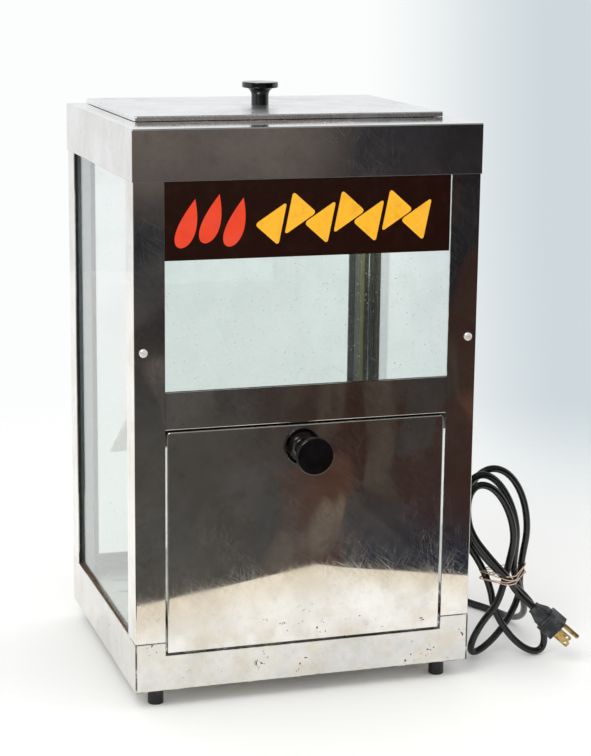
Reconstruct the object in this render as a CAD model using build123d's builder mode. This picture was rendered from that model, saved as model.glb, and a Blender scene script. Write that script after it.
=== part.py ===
"""Countertop chip warmer: a glazed, stainless steel cabinet with a heated base.

Millimetres. +X is the right side seen from the front, +Y runs from the door to the back and
+Z is up. The origin is on the counter, in the middle of the footprint that the cabinet takes
with its door knob and its rear switch.
"""

import os
from math import cos, pi, radians, sin, tan

from build123d import *

os.makedirs("parts", exist_ok=True)

# ------------------------------------------------------------------ driving dimensions
# Cabinet
cabinet_width = 355.0
cabinet_depth = 309.0
cabinet_height = 560.0  # underside of the base band to the top of the header
base_height = 50.0
header_height = 50.0
header_overhang = 1.0  # the header cap goes round the outside of the posts
post_width = 31.0
skin = 1.0  # stainless steel sheet
bend_radius = 1.5  # outside of a fold
seam = 0.2  # gap left between two sheets that meet edge to edge
base_flange = 34.0  # in-turned foot of the base band, which carries the feet

# Door, door opening and rail
door_height = 227.0
door_side_gap = 2.0  # between the door and each post
door_depth = 12.0
door_corner_radius = 3.5
door_gap = 2.0  # above and below it
notch_depth = 13.5  # the opening is cut this far down into the base band
notch_lip = 8.0
rail_height = 37.5
rail_flange = 24.0
rail_tab = 12.0
liner_flange = 5.0
liner_clearance = 0.1

# Door pivots
pivot_inset = 4.0  # behind the door's face and above its lower edge
pin_radius = 1.5
pin_running_clearance = 0.05
pin_seat_clearance = 0.02
pin_reach = 1.9  # inside the door's side wall
ear_thickness = 1.5
ear_setback = 0.6  # behind the edge of the door opening
ear_foot = 15.0
ear_foot_height = 14.0
ear_drop = 18.5  # pivot above the bracket's lower edge
ear_rise = 6.0  # and below its upper edge
pin_head_radius = 2.5
pin_head_height = 1.0

# Screws in the front posts
post_screw_inset = 9.5
post_screw_z = 365.5
post_screw_diameter = 3.5
post_screw_length = 6.0
post_screw_head = 2.2
post_screw_crown = 1.55  # radius that rounds the head
post_screw_head_diameter = 8.3
post_screw_slot = 1.2
post_screw_turn = -20.0

# Glazing
glass_thickness = 3.2
gasket_thickness = 3.0
gasket_width = 8.0
glass_drop = 10.0  # glass below the top of the base band
glass_rise = 42.0  # glass above the lower edge of the header
angle_leg = 18.0
sill_reach = 8.0
glass_gap = 0.5  # between one pane and the next
glass_edge_bevel = 0.4
front_glass_screw_gap = 5.0  # from the pane's edge to the post screws' axes
sign_height = 76.0
sign_tuck = 6.0  # sign hidden behind the header
sign_side_gap = 1.3
sign_thickness = 1.0

# Lid and its opening
lid_side_overlap = 12.0  # past the opening, on each side
lid_end_overlap = 11.75  # and in front and behind
lid_height = 4.8
lid_seat_gap = 0.5
lid_shift = 4.0  # the loose lid rests a little to the right
lid_rear_gap = 3.0  # to the back of the cabinet
lid_corner_radius = 3.0
lid_hem = 6.0
opening_width = 300.0
opening_depth = 208.0
opening_flange = 8.0
locator_clearance = 6.0  # inside the opening, on each side
locator_height = 16.0
locator_flange = 8.0

# Knobs, the same on lid and door
knob_diameter = 38.1
knob_height = 24.0
knob_rim = 6.0
knob_stem_diameter = 18.2
knob_stem_straight = 10.0
knob_flare_diameter = 30.0
knob_bore_depth = 14.0
knob_rim_fillet = 1.2
knob_screw_diameter = 4.2
knob_screw_head = 2.4
knob_screw_head_diameter = 8.0
knob_screw_tip_gap = 1.0
screw_bore_clearance = 0.05
door_knob_drop = 28.0  # below the door's top edge

# Feet
foot_height = 20.0
foot_diameter = 15.9
foot_side_inset = 17.5  # from the base's side to the foot's edge
foot_end_inset = 13.5  # from the base's front or back to the foot's edge
foot_recess_diameter = 9.0
foot_recess_depth = 12.0
foot_screw_diameter = 4.0
foot_screw_head = 3.0
foot_screw_head_diameter = 8.0
foot_nut_width = 7.0
foot_nut_height = 3.2
foot_edge_radius = 1.2

# Heated base
deck_clearance = 1.3  # between the deck and the inner corner angles
deck_drop = 15.0  # deck's top below the top of the base band
deck_front_gap = 3.5
deck_rear_gap = 14.0
deck_lip = 6.0
slot_length = 24.0
slot_width = 5.0
slot_columns = 7
slot_rows = 6
slot_pitch_x = 44.0
slot_pitch_y = 40.0
element_diameter = 6.5
element_height = 17.0  # axis above the bottom plate
element_margin = 48.0  # from its ends to the deck's sides
element_pitch = 50.0
element_turn_radius = 22.0
element_end = 30.0  # the middle hairpin stops this much short of the ends
rack_inset = 30.0  # from the element's bends
rack_height = 24.0
rack_thickness = 1.2
rack_foot = 10.0
rack_clearance = 0.1
vent_length = 60.0
vent_width = 6.0
vent_pitch = 20.0
vent_count = 5

thermostat_inset = 31.5  # from the right side
thermostat_setback = 10.0  # behind the middle of the cabinet
thermostat_diameter = 16.0
thermostat_flange_length = 34.0
thermostat_flange_width = 10.0
thermostat_height = 9.0
thermostat_tab_level = 6.0
tab_width = 4.8
tab_thickness = 0.8
tab_length = 7.0
lead_diameter = 2.6
lead_bend = 9.0
lead_entry = 28.5  # straight run in from the rear wall
lead_depth = 52.5  # how far in from the rear wall the leads turn
lead_sway = 17.0  # sideways, clear of the gland
lead_fall = 4.0
lead_slope = 66.5  # how far in the thermostat's lead has come down
lead_rise = 5.5  # of that lead above the bottom plate
lead_run_in = 23.0  # straight run up to the thermostat's tabs

# Chip baffle, a wedge of folded sheet behind the rail
baffle_drop = 93.5
baffle_reach = 139.0
baffle_rise = 33.5  # the lower sheet climbs this much towards the door
baffle_front_gap = 0.5  # behind the rail's flange
baffle_side_gap = 0.8
baffle_flange_overlap = 3.5  # past the edge of the door opening

# Door catch
catch_width = 40.0
catch_depth = 10.0
catch_height = 11.0
catch_gap = 0.3
catch_radius = 1.0

# Switch and mains lead
switch_inset = 92.5  # from the right side
switch_z = 41.0
switch_bezel_width = 21.0
switch_bezel_height = 15.0
switch_bezel_thickness = 1.8
switch_bezel_radius = 1.0
switch_body_width = 19.0
switch_body_height = 12.8
switch_body_depth = 20.0
switch_reach = 4.0  # how far the rocker stands behind the cabinet
rocker_width = 14.0
rocker_height = 9.6
rocker_clearance = 0.4
rocker_pivot_depth = 3.0  # below the cabinet's rear face
rocker_throw = 20.0  # degrees from off to on
rocker_dish = 0.8
trunnion_radius = 1.2
trunnion_reach = 0.9  # into the housing's wall
switch_well = 8.0
switch_tab_pitch = 9.0
cutout_clearance = 0.2
gland_inset = 52.5  # from the right side
gland_z = 41.0
gland_length = 30.0
gland_root_diameter = 16.0
gland_flange_diameter = 20.0
gland_flange_thickness = 2.0
gland_hole_diameter = 13.0
gland_wall = 1.2
cord_diameter = 7.6
bend_share = 0.45  # of a straight run that each bend at its ends may use
cord_lift = 0.1  # between the lead and the counter
plug_lead_in = 24.0  # straight run into the plug
tail_lead_out = 24.0  # and into the hank
band_wire = 1.4
band_bend = 5.5

# Plug
plug_length = 36.0
plug_neck_width = 12.0
plug_neck_length = 2.5
plug_grip_width = 16.5
plug_grip_height = 19.5
plug_grip_start = 12.0  # from the cord to the full grip
plug_shoulder = 17.0  # and to the face block
plug_face_width = 20.0
plug_face_height = 24.0
plug_corner_radius = 3.5
plug_groove_count = 5
plug_groove_pitch = 3.2
plug_groove_width = 1.4
plug_groove_depth = 0.8
blade_length = 18.0
blade_width = 6.3
blade_thickness = 1.5
blade_spacing = 12.7
blade_hole_diameter = 3.2
blade_hole_inset = 4.0
blade_drop = 4.0  # blades below the plug's axis
ground_rise = 7.9  # ground pin above it
ground_pin_diameter = 4.8
ground_pin_length = 21.4
ground_pin_tip_radius = 1.9
blade_tip_radius = 1.6

# ------------------------------------------------------------------ levels and faces
base_bottom = foot_height
base_top = base_bottom + base_height
header_top = base_bottom + cabinet_height
header_bottom = header_top - header_height
notch_bottom = base_top - notch_depth
door_bottom = notch_bottom + door_gap
door_top = door_bottom + door_height
rail_bottom = door_top + door_gap
rail_top = rail_bottom + rail_height

front = -(knob_height + cabinet_depth + switch_reach) / 2 + knob_height
rear = front + cabinet_depth
middle = (front + rear) / 2
side = cabinet_width / 2
front_in = front + skin
rear_in = rear - skin
side_in = side - skin
opening_side = side - post_width  # half the clear width between the front posts
door_width = 2 * (opening_side - door_side_gap)

side_glass_out = side_in - gasket_thickness
side_glass_in = side_glass_out - glass_thickness
rear_glass_out = rear_in - gasket_thickness
rear_glass_in = rear_glass_out - glass_thickness
front_glass_in = front_in + glass_thickness
angle_side = side_glass_in - skin
glass_bottom = base_top - glass_drop
glass_top = header_bottom + glass_rise

lid_width = opening_width + 2 * lid_side_overlap
lid_depth = opening_depth + 2 * lid_end_overlap
lid_y = rear - lid_rear_gap - lid_depth / 2
lid_rim_bottom = header_top + lid_seat_gap
locator_width = opening_width - 2 * locator_clearance
locator_depth = opening_depth - 2 * locator_clearance
lid_top = lid_rim_bottom + lid_height

bottom_plate_top = base_bottom + 2 * skin
deck_top = base_top - deck_drop
pivot_y = front + pivot_inset
pivot_z = door_bottom + pivot_inset
gland_x = side - gland_inset
switch_x = side - switch_inset
thermostat_x = side - thermostat_inset
thermostat_y = middle + thermostat_setback
foot_x_offset = foot_side_inset + foot_diameter / 2
foot_y_offset = foot_end_inset + foot_diameter / 2

sides = {"left": -1, "right": 1}
foot_places = {
    f"foot_{along}_{across}": (side_sign * (side - foot_x_offset), foot_y)
    for along, foot_y in (("front", front + foot_y_offset), ("rear", rear - foot_y_offset))
    for across, side_sign in sides.items()
}


def save(builder, name):
    """Label a finished piece and write it as its own STEP file."""
    builder.part.label = name
    export_step(builder.part, f"parts/{name}.step")
    print(f"{name}: {builder.part.volume / 1000:.2f} cm3")


def upright_edge_near(builder, x, y):
    """The vertical edge that stands closest to a point of the plan."""
    return builder.edges().filter_by(Axis.Z).sort_by_distance((x, y, base_bottom))[0]


# ------------------------------------------------------------------ base
with BuildPart() as base_shell:
    with BuildSketch(Plane.XY.offset(base_bottom)) as base_plan:
        with Locations((0, middle)):
            Rectangle(cabinet_width, cabinet_depth)
        fillet(base_plan.vertices().group_by(Axis.Y)[-1], bend_radius)
        offset(amount=-skin, mode=Mode.SUBTRACT)
    extrude(amount=base_height)
    with BuildSketch(Plane.XY.offset(base_bottom)):
        with Locations((0, middle)):
            Rectangle(cabinet_width - 2 * skin, cabinet_depth - 2 * skin)
            Rectangle(
                cabinet_width - 2 * base_flange,
                cabinet_depth - 2 * base_flange,
                mode=Mode.SUBTRACT,
            )
    extrude(amount=skin)
    # the front panel is a sheet of its own, and brings the flange under it
    with BuildSketch(Plane.XY.offset(base_bottom)):
        with Locations((0, front)):
            Rectangle(cabinet_width, 2 * (skin + seam))
        with Locations((0, front)):
            Rectangle(cabinet_width - 2 * base_flange, 2 * base_flange)
    extrude(amount=base_height, mode=Mode.SUBTRACT)
    with BuildSketch(Plane.XY.offset(base_bottom)):
        with Locations(*foot_places.values()):
            Circle(foot_screw_diameter / 2 + screw_bore_clearance)
    extrude(amount=skin, mode=Mode.SUBTRACT)
    with BuildSketch(Plane.XZ.offset(-rear)):
        with Locations((gland_x, gland_z)):
            Circle(gland_hole_diameter / 2 + cutout_clearance)
        with Locations((switch_x, switch_z)):
            Rectangle(
                switch_body_width + 2 * cutout_clearance,
                switch_body_height + 2 * cutout_clearance,
            )
    extrude(amount=2 * skin, both=True, mode=Mode.SUBTRACT)
save(base_shell, "base_shell")

with BuildPart() as base_front:
    with BuildSketch(Plane.XZ.offset(-front)):
        with Locations((0, (base_bottom + base_top) / 2)):
            Rectangle(cabinet_width, base_height)
        with Locations((0, base_top)):
            Rectangle(2 * opening_side, 2 * notch_depth, mode=Mode.SUBTRACT)
    extrude(amount=-skin)
    flange_half = side - base_flange - seam
    with BuildSketch(Plane.XY.offset(base_bottom)):
        with Locations((0, front_in + base_flange / 2 - skin / 2)):
            Rectangle(2 * flange_half, base_flange - skin)
    extrude(amount=skin)
    with BuildSketch(Plane.XY.offset(notch_bottom)):
        with Locations((0, front_in + notch_lip / 2)):
            Rectangle(2 * opening_side, notch_lip)
    extrude(amount=-skin)
save(base_front, "base_front")

with BuildPart() as bottom_plate:
    plate_margin = skin + seam
    with BuildSketch(Plane.XY.offset(base_bottom + skin)):
        with Locations((0, middle)):
            Rectangle(cabinet_width - 2 * plate_margin, cabinet_depth - 2 * plate_margin)
        with Locations(*foot_places.values()):
            Circle(foot_screw_diameter / 2 + screw_bore_clearance, mode=Mode.SUBTRACT)
        with Locations((0, middle)):
            with GridLocations(0, vent_pitch, 1, vent_count):
                SlotOverall(vent_length, vent_width, mode=Mode.SUBTRACT)
    extrude(amount=skin)
save(bottom_plate, "bottom_plate")

# ------------------------------------------------------------------ feet
for foot_name, (foot_x, foot_y) in foot_places.items():
    with BuildPart() as foot:
        with BuildSketch(Plane.XY):
            with Locations((foot_x, foot_y)):
                Circle(foot_diameter / 2)
        extrude(amount=foot_height)
        fillet(foot.edges().sort_by(Axis.Z)[0], foot_edge_radius)
        with BuildSketch(Plane.XY):
            with Locations((foot_x, foot_y)):
                Circle(foot_recess_diameter / 2)
        extrude(amount=foot_recess_depth, mode=Mode.SUBTRACT)
        with BuildSketch(Plane.XY):
            with Locations((foot_x, foot_y)):
                Circle(foot_screw_diameter / 2 + screw_bore_clearance)
        extrude(amount=foot_height, mode=Mode.SUBTRACT)
    save(foot, foot_name)

with BuildPart() as foot_screws:
    for foot_x, foot_y in foot_places.values():
        with BuildSketch(Plane.XY.offset(foot_recess_depth - foot_screw_head)):
            with Locations((foot_x, foot_y)):
                Circle(foot_screw_head_diameter / 2)
        extrude(amount=foot_screw_head)
        with BuildSketch(Plane.XY.offset(foot_recess_depth)):
            with Locations((foot_x, foot_y)):
                Circle(foot_screw_diameter / 2)
        extrude(amount=bottom_plate_top + foot_nut_height + skin - foot_recess_depth)
save(foot_screws, "foot_screws")

with BuildPart() as foot_nuts:
    for foot_x, foot_y in foot_places.values():
        with BuildSketch(Plane.XY.offset(bottom_plate_top)):
            with Locations((foot_x, foot_y)):
                RegularPolygon(foot_nut_width / 2, 6, major_radius=False)
                Circle(foot_screw_diameter / 2 + screw_bore_clearance, mode=Mode.SUBTRACT)
        extrude(amount=foot_nut_height)
save(foot_nuts, "foot_nuts")


# ------------------------------------------------------------------ posts and inner angles
def sheet_angle(corner_x, corner_y, toward_x, toward_y, leg, low, high):
    """A folded sheet angle with two equal legs from its outer corner."""
    with BuildPart() as angle:
        with BuildSketch(Plane.XY.offset(low)):
            with BuildLine():
                Polyline(
                    (corner_x + toward_x * leg, corner_y),
                    (corner_x, corner_y),
                    (corner_x, corner_y + toward_y * leg),
                    (corner_x + toward_x * skin, corner_y + toward_y * leg),
                    (corner_x + toward_x * skin, corner_y + toward_y * skin),
                    (corner_x + toward_x * leg, corner_y + toward_y * skin),
                    close=True,
                )
            make_face()
        extrude(amount=high - low)
        fillet(upright_edge_near(angle, corner_x, corner_y), bend_radius)
    return angle.part


post_bottom = base_top + seam
post_top = header_top - bend_radius - seam
screw_x = side - post_screw_inset

for across, side_sign in sides.items():
    front_sheet = sheet_angle(
        side_sign * side, front, -side_sign, 1, post_width, post_bottom, post_top
    )
    inner_sheet = sheet_angle(
        side_sign * side_glass_in, front_glass_in, -side_sign, 1, angle_leg,
        bottom_plate_top, post_top,
    )
    for sheet, name in ((front_sheet, "post_front"), (inner_sheet, "inner_angle_front")):
        with BuildPart() as screwed_angle:
            add(sheet)
            with BuildSketch(Plane.XZ.offset(-front)):
                with Locations((side_sign * screw_x, post_screw_z)):
                    Circle(post_screw_diameter / 2 + screw_bore_clearance)
            extrude(amount=-post_screw_length - skin, mode=Mode.SUBTRACT)
        save(screwed_angle, f"{name}_{across}")

    rear_sheet = sheet_angle(
        side_sign * side, rear, -side_sign, -1, post_width, post_bottom, post_top
    )
    tie_sheet = sheet_angle(
        side_sign * side_glass_in, rear_glass_in, -side_sign, -1, angle_leg,
        bottom_plate_top, post_top,
    )
    for sheet, name in ((rear_sheet, "post_rear"), (tie_sheet, "inner_angle_rear")):
        with BuildPart() as plain_angle:
            add(sheet)
        save(plain_angle, f"{name}_{across}")

with BuildPart() as post_screws:
    for side_sign in sides.values():
        head_plane = Plane(
            origin=(side_sign * screw_x, front, post_screw_z), x_dir=(1, 0, 0), z_dir=(0, -1, 0)
        )
        with BuildSketch(head_plane):
            Circle(post_screw_head_diameter / 2)
        extrude(amount=post_screw_head)
        fillet(
            post_screws.edges().filter_by(GeomType.CIRCLE)
            .filter_by_position(Axis.Y, front - post_screw_head, front - post_screw_head)
            .sort_by(Axis.X)[-1 if side_sign > 0 else 0],
            post_screw_crown,
        )
        with BuildSketch(head_plane):
            Circle(post_screw_diameter / 2)
        extrude(amount=-post_screw_length)
    with BuildSketch(Plane.XZ.offset(-front + post_screw_head)):
        with Locations((screw_x, post_screw_z), (-screw_x, post_screw_z)):
            Rectangle(post_screw_head_diameter, post_screw_slot, rotation=post_screw_turn)
    extrude(amount=-post_screw_head / 2, mode=Mode.SUBTRACT)
save(post_screws, "post_screws")


# ------------------------------------------------------------------ glazing
def pane(plane, centre, size):
    """A flat sheet of glass standing in a plane."""
    with BuildPart() as sheet:
        with BuildSketch(plane):
            with Locations(centre):
                Rectangle(*size)
        extrude(amount=glass_thickness)
        chamfer(sheet.edges().filter_by(Axis.Z), glass_edge_bevel)
    return sheet


def frame_ring(plane, centre, clear, border, thickness):
    """A rectangular frame round a clear opening."""
    with BuildPart() as ring:
        with BuildSketch(plane):
            with Locations(centre):
                Rectangle(clear[0] + 2 * border, clear[1] + 2 * border)
                Rectangle(*clear, mode=Mode.SUBTRACT)
        extrude(amount=thickness)
    return ring


glass_centre_z = (glass_bottom + glass_top) / 2
glass_tall = glass_top - glass_bottom
clear_centre_z = (base_top + header_bottom) / 2
clear_tall = header_bottom - base_top
side_clear = cabinet_depth - 2 * post_width
rear_clear = cabinet_width - 2 * post_width

side_glass_front = front_glass_in + post_screw_length - glass_thickness + glass_gap
side_glass_rear = rear_glass_in - glass_gap

for across, side_sign in sides.items():
    side_glass = pane(
        Plane.YZ.offset(side_glass_in if side_sign > 0 else -side_glass_out),
        ((side_glass_front + side_glass_rear) / 2, glass_centre_z),
        (side_glass_rear - side_glass_front, glass_tall),
    )
    save(side_glass, f"glass_{across}")

    side_gasket = frame_ring(
        Plane.YZ.offset(side_glass_out if side_sign > 0 else -side_in),
        (middle, clear_centre_z),
        (side_clear, clear_tall),
        gasket_width,
        gasket_thickness,
    )
    save(side_gasket, f"gasket_{across}")

    with BuildPart() as side_sill:
        sill_length = side_clear + 2 * (post_width - angle_leg) - 2 * gasket_width
        with BuildSketch(Plane.XZ.offset(-middle + sill_length / 2)):
            with BuildLine():
                Polyline(
                    (side_sign * side_in, glass_bottom),
                    (side_sign * (side_in - sill_reach), glass_bottom),
                    (side_sign * (side_in - sill_reach), glass_bottom - skin),
                    (side_sign * (side_in - skin), glass_bottom - skin),
                    (side_sign * (side_in - skin), glass_bottom - sill_reach),
                    (side_sign * side_in, glass_bottom - sill_reach),
                    close=True,
                )
            make_face()
        extrude(amount=-sill_length)
    save(side_sill, f"sill_{across}")

rear_glass = pane(
    Plane.XZ.offset(-rear_glass_out),
    (0, glass_centre_z),
    (2 * (angle_side - glass_gap) - 2 * bend_radius, glass_tall),
)
save(rear_glass, "glass_rear")

rear_gasket = frame_ring(
    Plane.XZ.offset(-rear_in),
    (0, clear_centre_z),
    (rear_clear, clear_tall),
    gasket_width,
    gasket_thickness,
)
save(rear_gasket, "gasket_rear")

with BuildPart() as rear_sill:
    with BuildSketch(Plane.YZ.offset(-rear_clear / 2)):
        with BuildLine():
            Polyline(
                (rear_in, glass_bottom),
                (rear_in - sill_reach, glass_bottom),
                (rear_in - sill_reach, glass_bottom - skin),
                (rear_in - skin, glass_bottom - skin),
                (rear_in - skin, glass_bottom - sill_reach),
                (rear_in, glass_bottom - sill_reach),
                close=True,
            )
        make_face()
    extrude(amount=rear_clear)
save(rear_sill, "sill_rear")

front_glass_bottom = rail_top - rail_tab
front_glass = pane(
    Plane.XZ.offset(-front_glass_in),
    (0, (front_glass_bottom + glass_top) / 2),
    (2 * (screw_x - front_glass_screw_gap), glass_top - front_glass_bottom),
)
save(front_glass, "glass_front")

with BuildPart() as sign_panel:
    with BuildSketch(Plane.XZ.offset(-front)):
        with Locations((0, header_bottom + (sign_tuck - sign_height) / 2)):
            Rectangle(2 * (opening_side - sign_side_gap), sign_height + sign_tuck)
    extrude(amount=-sign_thickness)
save(sign_panel, "sign_panel")

# ------------------------------------------------------------------ header
with BuildPart() as header_cap:
    with BuildSketch(Plane.XY.offset(header_bottom)):
        with Locations((0, middle)):
            Rectangle(cabinet_width + 2 * header_overhang, cabinet_depth + 2 * header_overhang)
    extrude(amount=header_height)
    fillet(header_cap.edges().filter_by(Axis.Z), bend_radius)
    fillet(header_cap.faces().sort_by(Axis.Z)[-1].edges(), bend_radius)
    offset(amount=-skin, openings=header_cap.faces().sort_by(Axis.Z)[0])
    with BuildSketch(Plane.XY.offset(header_top)):
        with Locations((0, lid_y)):
            Rectangle(opening_width + 2 * skin, opening_depth + 2 * skin)
    extrude(amount=-opening_flange)
    with BuildSketch(Plane.XY.offset(header_top)):
        with Locations((0, lid_y)):
            Rectangle(opening_width, opening_depth)
    extrude(amount=-opening_flange, mode=Mode.SUBTRACT)
save(header_cap, "header_cap")

# ------------------------------------------------------------------ rail, baffle and catch
with BuildPart() as mid_rail:
    rail_half = opening_side - seam
    with BuildSketch(Plane.XZ.offset(-front)):
        with Locations((0, (rail_bottom + rail_top) / 2)):
            Rectangle(2 * rail_half, rail_height)
    extrude(amount=-skin)
    with BuildSketch(Plane.XY.offset(rail_bottom)):
        with Locations((0, front + rail_flange / 2)):
            Rectangle(2 * rail_half, rail_flange)
    extrude(amount=skin)
    with BuildSketch(Plane.XZ.offset(-front_in)):
        with Locations((0, (rail_bottom + front_glass_bottom) / 2)):
            Rectangle(
                2 * (rail_half + rail_tab), front_glass_bottom - rail_bottom - 2 * skin
            )
    extrude(amount=-skin)
    fillet(
        mid_rail.edges().filter_by(Axis.X).sort_by_distance((0, front, rail_bottom))[0], skin
    )
save(mid_rail, "mid_rail")

with BuildPart() as chip_baffle:
    baffle_start = front_glass_in + bend_radius
    baffle_end = baffle_start + baffle_reach
    baffle_front = front + rail_flange + baffle_front_gap
    baffle_low = rail_top - baffle_drop
    with BuildSketch(Plane.YZ.offset(-(angle_side - baffle_side_gap))):
        with BuildLine():
            Polyline(
                (baffle_start, rail_top),
                (baffle_end, baffle_low),
                (baffle_front, baffle_low + baffle_rise),
                (baffle_front, rail_bottom + skin),
                (baffle_start, rail_bottom + skin),
                close=True,
            )
        make_face()
    extrude(amount=2 * (angle_side - baffle_side_gap))
    hollow_ends = chip_baffle.faces().filter_by(Axis.Y).sort_by(Axis.Y)
    offset(amount=-skin, openings=[hollow_ends[0]])
    with BuildSketch(Plane.XZ.offset(-baffle_start)):
        with Locations((0, (rail_bottom + skin + rail_top) / 2)):
            Rectangle(
                2 * (opening_side + baffle_flange_overlap), rail_height - skin
            )
    extrude(amount=-skin)
save(chip_baffle, "chip_baffle")

with BuildPart() as door_catch:
    with BuildSketch(Plane.XY.offset(rail_bottom)):
        with Locations((0, front + door_depth + catch_gap + catch_depth / 2)):
            Rectangle(catch_width, catch_depth)
    extrude(amount=-catch_height)
    fillet(door_catch.edges().filter_by(Axis.Z), catch_radius)
save(door_catch, "door_catch")

# ------------------------------------------------------------------ door
door_centre_z = (door_bottom + door_top) / 2
door_knob_z = door_top - door_knob_drop

with BuildPart() as door_panel:
    with BuildSketch(Plane.XZ.offset(-front)):
        with Locations((0, door_centre_z)):
            Rectangle(door_width, door_height)
    extrude(amount=-door_depth)
    fillet(door_panel.edges().filter_by(Axis.Y).group_by(Axis.Z)[-1], door_corner_radius)
    fillet(door_panel.faces().sort_by(Axis.Y)[0].edges(), bend_radius)
    offset(amount=-skin, openings=door_panel.faces().sort_by(Axis.Y)[-1])
    with BuildSketch(Plane.YZ):
        with Locations((pivot_y, pivot_z)):
            Circle(pin_radius + pin_running_clearance)
    extrude(amount=door_width, both=True, mode=Mode.SUBTRACT)
    with BuildSketch(Plane.XZ.offset(-front)):
        with Locations((0, door_knob_z)):
            Circle(knob_screw_diameter / 2 + screw_bore_clearance)
    extrude(amount=-2 * skin, mode=Mode.SUBTRACT)
save(door_panel, "door_panel")

with BuildPart() as door_liner:
    liner_inset = skin + liner_clearance
    liner_back = front + door_depth - liner_clearance
    with BuildSketch(Plane.XZ.offset(-liner_back)):
        with Locations((0, door_centre_z)):
            Rectangle(door_width - 2 * liner_inset, door_height - 2 * liner_inset)
    extrude(amount=liner_flange)
    fillet(
        door_liner.edges().filter_by(Axis.Y).group_by(Axis.Z)[-1], door_corner_radius - skin
    )
    offset(amount=-skin, openings=door_liner.faces().sort_by(Axis.Y)[0])
save(door_liner, "door_liner")

ear_inner = opening_side + ear_setback
ear_outer = ear_inner + ear_thickness
ear_bottom = pivot_z - ear_drop
ear_middle_y = (front_in + front + door_depth) / 2

for across, side_sign in sides.items():
    with BuildPart() as hinge_bracket:
        with BuildSketch(Plane.YZ.offset(side_sign * ear_inner)):
            with Locations((ear_middle_y, (ear_bottom + pivot_z + ear_rise) / 2)):
                Rectangle(door_depth - skin, ear_drop + ear_rise)
            with Locations((pivot_y, pivot_z)):
                Circle(pin_radius + pin_seat_clearance, mode=Mode.SUBTRACT)
        extrude(amount=side_sign * ear_thickness)
        with BuildSketch(Plane.XZ.offset(-front_in)):
            ear_foot_x = side_sign * (ear_inner + ear_foot / 2)
            with Locations((ear_foot_x, ear_bottom + ear_foot_height / 2)):
                Rectangle(ear_foot, ear_foot_height)
        extrude(amount=-ear_thickness)
    save(hinge_bracket, f"hinge_bracket_{across}")

with BuildPart() as hinge_pins:
    pin_start = door_width / 2 - skin - pin_reach
    for side_sign in sides.values():
        pin_plane = Plane(
            origin=(side_sign * pin_start, pivot_y, pivot_z),
            x_dir=(0, 1, 0),
            z_dir=(side_sign, 0, 0),
        )
        with BuildSketch(pin_plane):
            Circle(pin_radius)
        extrude(amount=ear_outer - pin_start)
        with BuildSketch(pin_plane.offset(ear_outer - pin_start)):
            Circle(pin_head_radius)
        extrude(amount=pin_head_height)
save(hinge_pins, "hinge_pins")

# ------------------------------------------------------------------ lid
with BuildPart() as lid_panel:
    with BuildSketch(Plane.XY.offset(lid_rim_bottom)) as lid_plan:
        with Locations((lid_shift, lid_y)):
            Rectangle(lid_width, lid_depth)
        fillet(lid_plan.vertices(), lid_corner_radius)
    extrude(amount=lid_height)
    fillet(lid_panel.faces().sort_by(Axis.Z)[-1].edges(), bend_radius)
    with BuildSketch(Plane.XY.offset(lid_rim_bottom + skin)) as lid_hollow:
        with Locations((lid_shift, lid_y)):
            Rectangle(lid_width - 2 * skin, lid_depth - 2 * skin)
        fillet(lid_hollow.vertices(), lid_corner_radius - skin)
    extrude(amount=lid_height - 2 * skin, mode=Mode.SUBTRACT)
    with BuildSketch(Plane.XY.offset(lid_rim_bottom)):
        with Locations((lid_shift, lid_y)):
            Rectangle(lid_width - 2 * (skin + lid_hem), lid_depth - 2 * (skin + lid_hem))
    extrude(amount=skin, mode=Mode.SUBTRACT)
    with BuildSketch(Plane.XY.offset(lid_top)):
        with Locations((lid_shift, lid_y)):
            Circle(knob_screw_diameter / 2 + screw_bore_clearance)
    extrude(amount=-2 * skin, mode=Mode.SUBTRACT)
save(lid_panel, "lid_panel")

with BuildPart() as lid_locator:
    locator_top = lid_top - skin
    with BuildSketch(Plane.XY.offset(locator_top - locator_height)):
        with Locations((lid_shift, lid_y)):
            Rectangle(locator_width, locator_depth)
            Rectangle(locator_width - 2 * skin, locator_depth - 2 * skin, mode=Mode.SUBTRACT)
    extrude(amount=locator_height)
    with BuildSketch(Plane.XY.offset(locator_top)):
        with Locations((lid_shift, lid_y)):
            Rectangle(locator_width, locator_depth)
            Rectangle(
                locator_width - 2 * locator_flange, locator_depth - 2 * locator_flange,
                mode=Mode.SUBTRACT,
            )
    extrude(amount=-skin)
save(lid_locator, "lid_locator")


# ------------------------------------------------------------------ knobs and their screws
def turned_knob(base):
    """A moulded knob that stands along its base plane's Y axis."""
    bore = knob_screw_diameter / 2 + screw_bore_clearance
    stem = knob_stem_diameter / 2
    disc = knob_diameter / 2
    disc_under = knob_height - knob_rim
    with BuildPart() as knob:
        with BuildSketch(base):
            with BuildLine():
                foot_line = Line((bore, 0), (stem, 0))
                stem_line = Line(foot_line @ 1, (stem, knob_stem_straight))
                flare = TangentArc(
                    stem_line @ 1, (knob_flare_diameter / 2, disc_under), tangent=(0, 1)
                )
                Polyline(
                    flare @ 1,
                    (disc, disc_under),
                    (disc, knob_height),
                    (0, knob_height),
                    (0, knob_bore_depth),
                    (bore, knob_bore_depth),
                    (bore, 0),
                )
            make_face()
        revolve(axis=Axis(base.origin, base.y_dir))
        rim_edges = [
            edge for edge in knob.edges().filter_by(GeomType.CIRCLE)
            if abs(edge.radius - disc) < 0.01
        ]
        fillet(rim_edges, knob_rim_fillet)
    return knob


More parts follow.
